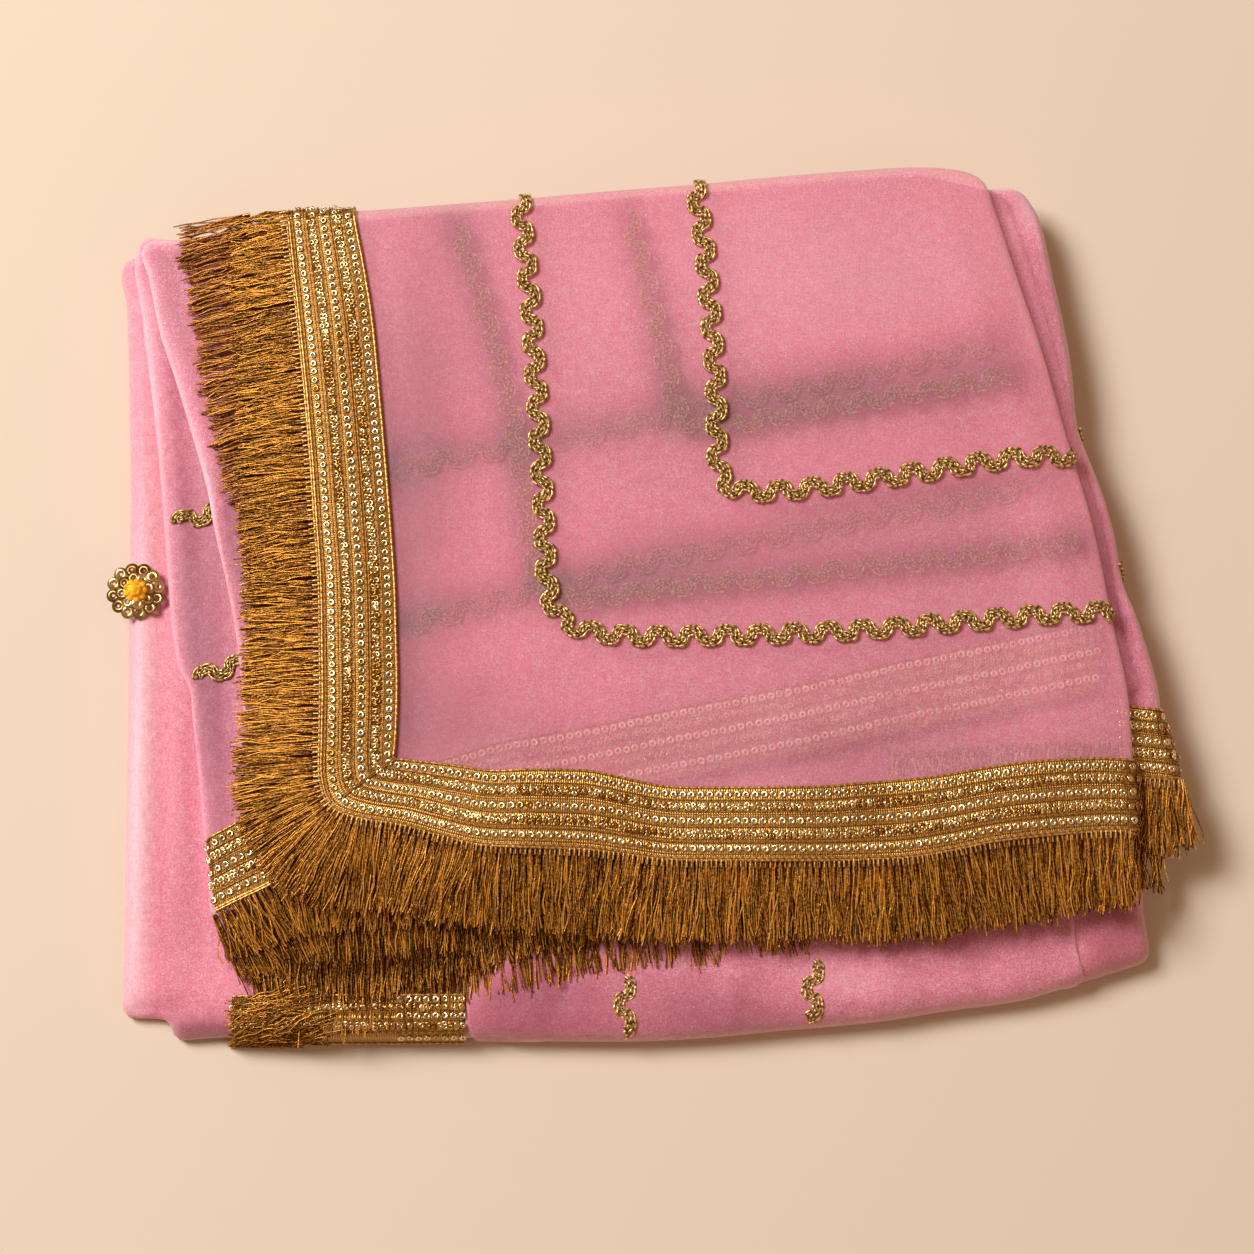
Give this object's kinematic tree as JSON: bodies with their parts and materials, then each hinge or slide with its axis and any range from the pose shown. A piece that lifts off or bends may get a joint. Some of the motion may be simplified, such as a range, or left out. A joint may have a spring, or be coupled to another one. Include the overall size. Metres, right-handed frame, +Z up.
{
  "type": "dupatta stole",
  "caption": "Sheer pink organza dupatta stole folded flat, with a gold sequin border, brush fringe, wavy gold braid and a sequin flower.",
  "frame": {"origin": "under the middle of the folded stack's bounding box, on the surface it rests on", "axes": "+X to the right along the stack's longest side as the picture shows it, +Y to its back fold, +Z up through the layers"},
  "size_m": [0.3577, 0.2961, 0.0296],
  "materials": {
    "organza": "sheer, fine sparkle",
    "organza_under": "sheer, many layers deep",
    "sequin_lace": "metallic gold lurex with sequins",
    "gold_thread": "metallic thread",
    "gold_braid": "metallic cord",
    "sequin_gold": "polished sequins",
    "bead_amber": "faceted gloss"
  },
  "bodies": {
    "root": {"cloth_core": "organza_under", "cloth_third_layer": "organza", "cloth_left_fold": "organza", "cloth_second_layer": "organza", "cloth_top_layer": "organza", "border_top": "sequin_lace", "border_second": "sequin_lace", "border_third": "sequin_lace", "border_lowest": "sequin_lace", "fringe_top": "gold_thread", "fringe_second": "gold_thread", "fringe_third_left": "gold_thread", "fringe_third_right": "gold_thread", "fringe_lower": "gold_thread", "fringe_lower_right": "gold_thread", "braid_top_outer": "gold_braid", "braid_top_inner": "gold_braid", "braid_second_outer": "gold_braid", "braid_second_inner": "gold_braid", "braid_third_upper": "gold_braid", "braid_third_lower": "gold_braid", "braid_front_left": "gold_braid", "braid_front_right": "gold_braid", "flower_petals": "sequin_gold", "flower_bead": "bead_amber"}
  },
  "joints": []
}
